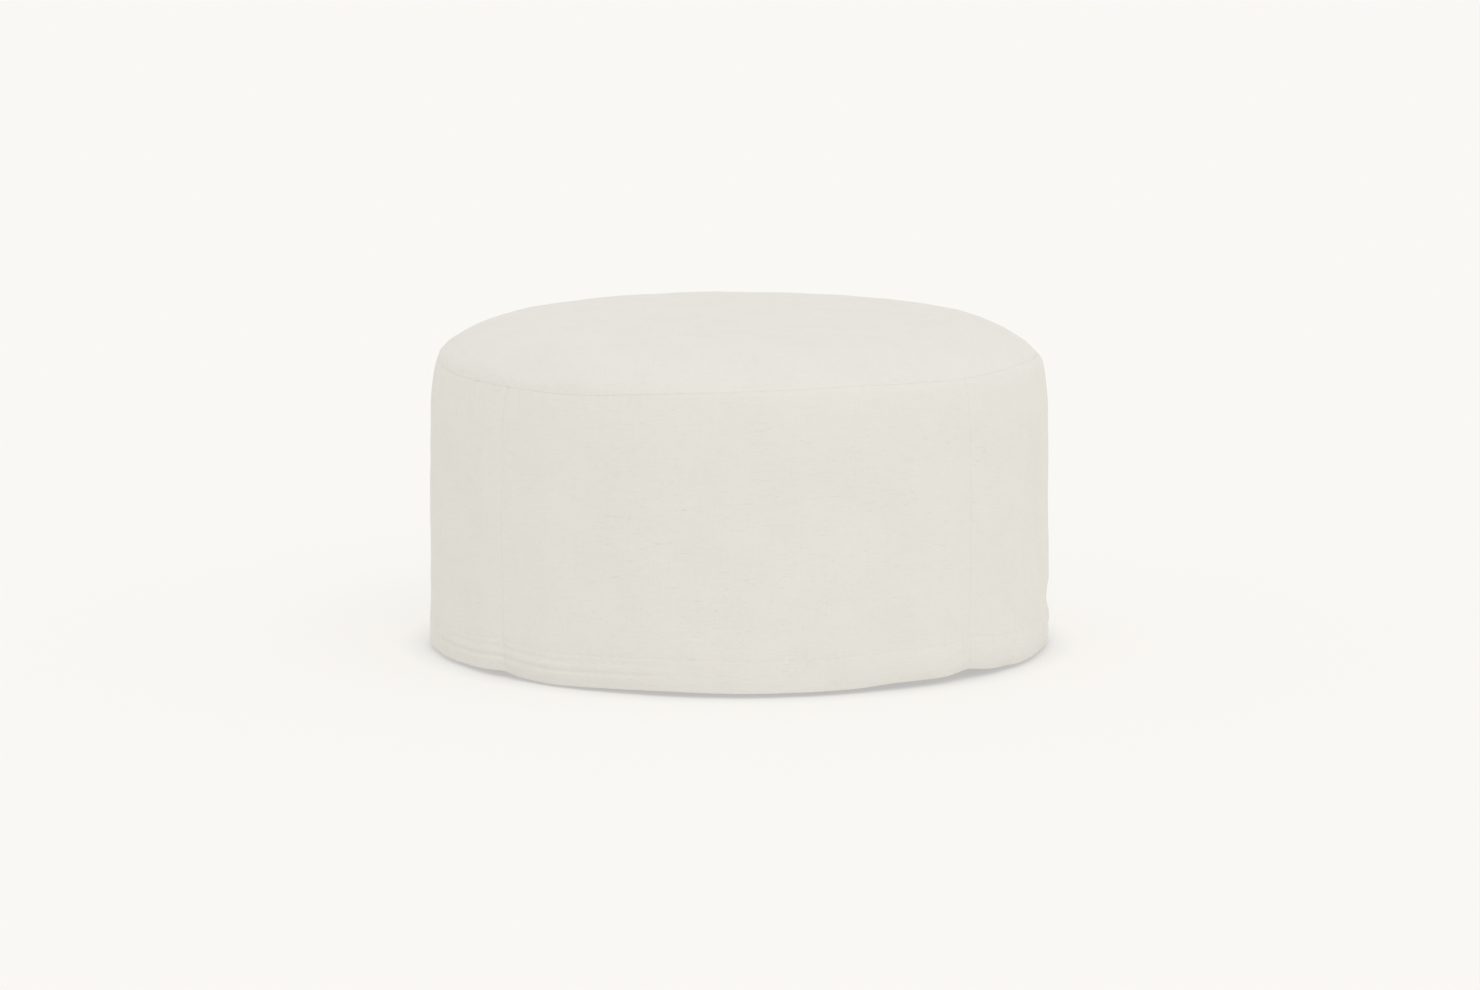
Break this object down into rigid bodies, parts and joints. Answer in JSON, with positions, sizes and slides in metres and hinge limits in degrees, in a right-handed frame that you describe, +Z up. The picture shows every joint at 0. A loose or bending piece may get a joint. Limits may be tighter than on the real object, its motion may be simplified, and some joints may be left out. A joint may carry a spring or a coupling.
{
  "type": "slipcovered round ottoman",
  "caption": "Low round upholstered footstool with a softly domed top, under a loose linen slipcover whose seamed skirt hangs almost to the floor and hides turned feet.",
  "frame": {"origin": "centre of the footprint, on the floor under the foot glides", "axes": "+Z up, front at -Y, the cover's four side seams at -138, -43.5, 45 and 135 degrees from +X"},
  "size_m": [0.864, 0.864, 0.46],
  "materials": {
    "linen": "natural off-white linen, fine uneven slubs, matt",
    "calico": "unbleached calico, matt",
    "wadding": "bonded polyester fibre, lofty",
    "foam": "open-cell polyurethane foam",
    "hessian": "coarse open-weave hessian",
    "jute": "jute webbing with dark edge stripes",
    "chipboard": "bent fibreboard",
    "birch_ply": "sanded birch plywood with bare layered edges",
    "pine": "planed softwood, unfinished",
    "beech": "turned beech, walnut stain, satin lacquer",
    "cambric": "black non-woven bottoming cloth",
    "nylon": "moulded nylon",
    "zinc": "zinc-plated steel"
  },
  "bodies": {
    "root": {"cover_top_panel": "linen", "cover_side_front": "linen", "cover_side_right": "linen", "cover_side_back": "linen", "cover_side_left": "linen", "calico_top": "calico", "calico_side": "calico", "crown_wadding": "wadding", "side_wadding": "wadding", "foam_pad": "foam", "hessian_deck": "hessian", "webbing_across_1": "jute", "webbing_across_2": "jute", "webbing_across_3": "jute", "webbing_across_4": "jute", "webbing_along_1": "jute", "webbing_along_2": "jute", "webbing_along_3": "jute", "webbing_along_4": "jute", "side_board": "chipboard", "top_ring": "birch_ply", "bottom_ring": "birch_ply", "post_1": "pine", "post_2": "pine", "post_3": "pine", "post_4": "pine", "post_5": "pine", "post_6": "pine", "post_7": "pine", "post_8": "pine", "cross_rail_lower": "pine", "cross_rail_upper": "pine", "dust_cover": "cambric", "foot_1": "beech", "foot_2": "beech", "foot_3": "beech", "foot_4": "beech", "foot_glide_1": "nylon", "foot_glide_2": "nylon", "foot_glide_3": "nylon", "foot_glide_4": "nylon", "hanger_bolt_1": "zinc", "hanger_bolt_2": "zinc", "hanger_bolt_3": "zinc", "hanger_bolt_4": "zinc", "tee_nut_1": "zinc", "tee_nut_2": "zinc", "tee_nut_3": "zinc", "tee_nut_4": "zinc"}
  },
  "joints": []
}
